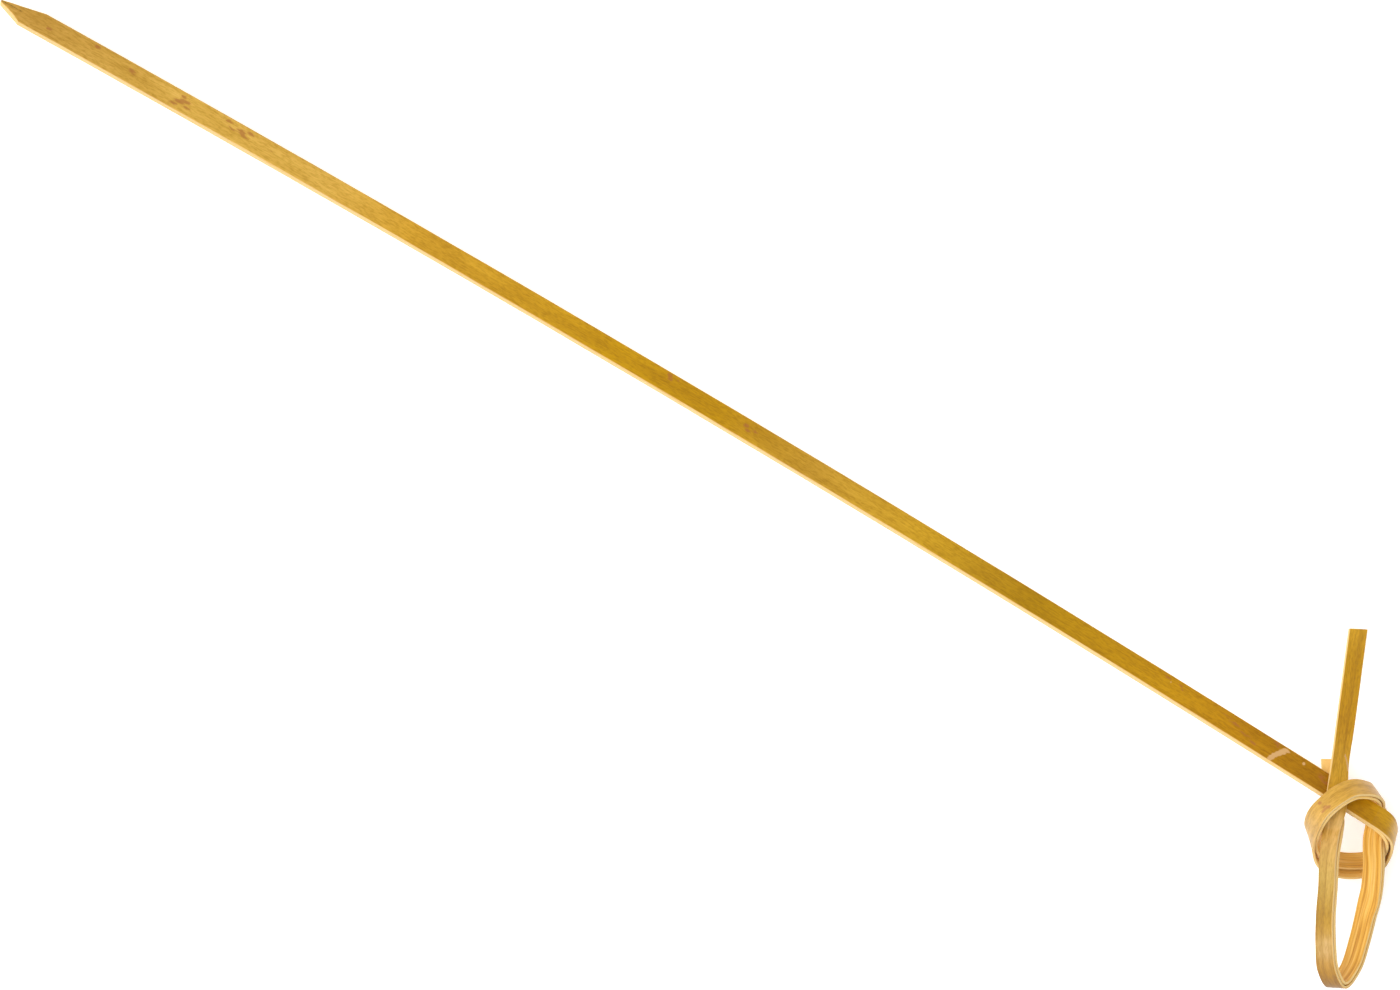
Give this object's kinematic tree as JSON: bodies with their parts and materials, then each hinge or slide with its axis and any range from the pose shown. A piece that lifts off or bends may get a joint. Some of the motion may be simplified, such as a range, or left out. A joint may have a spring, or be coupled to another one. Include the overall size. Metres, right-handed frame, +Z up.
{
  "type": "knotted bamboo pick",
  "caption": "Flat bamboo pick with a bevelled point, its split end tied in one overhand knot with a long loop and two free ends.",
  "frame": {"origin": "middle of the bounding box's underside, on the table that the pick lies on", "axes": "+X along the shaft from the point towards the knot, +Z up from the table, +Y across, on the side where the tail stands out"},
  "size_m": [0.1846, 0.036, 0.0096],
  "materials": {
    "bamboo_skin": "satin, fine lengthwise fibres",
    "bamboo_inner": "matte, fibrous"
  },
  "bodies": {
    "root": {"shaft": "bamboo_skin", "shaft_neck": "bamboo_skin", "skin_turn": "bamboo_skin", "skin_wrap": "bamboo_skin", "skin_far_strand": "bamboo_skin", "skin_loop_end": "bamboo_skin", "skin_near_strand": "bamboo_skin", "skin_tail": "bamboo_skin", "inner_turn": "bamboo_inner", "inner_wrap": "bamboo_inner", "inner_far_strand": "bamboo_inner", "inner_loop_end": "bamboo_inner", "inner_near_strand": "bamboo_inner", "inner_stub": "bamboo_inner"}
  },
  "joints": []
}
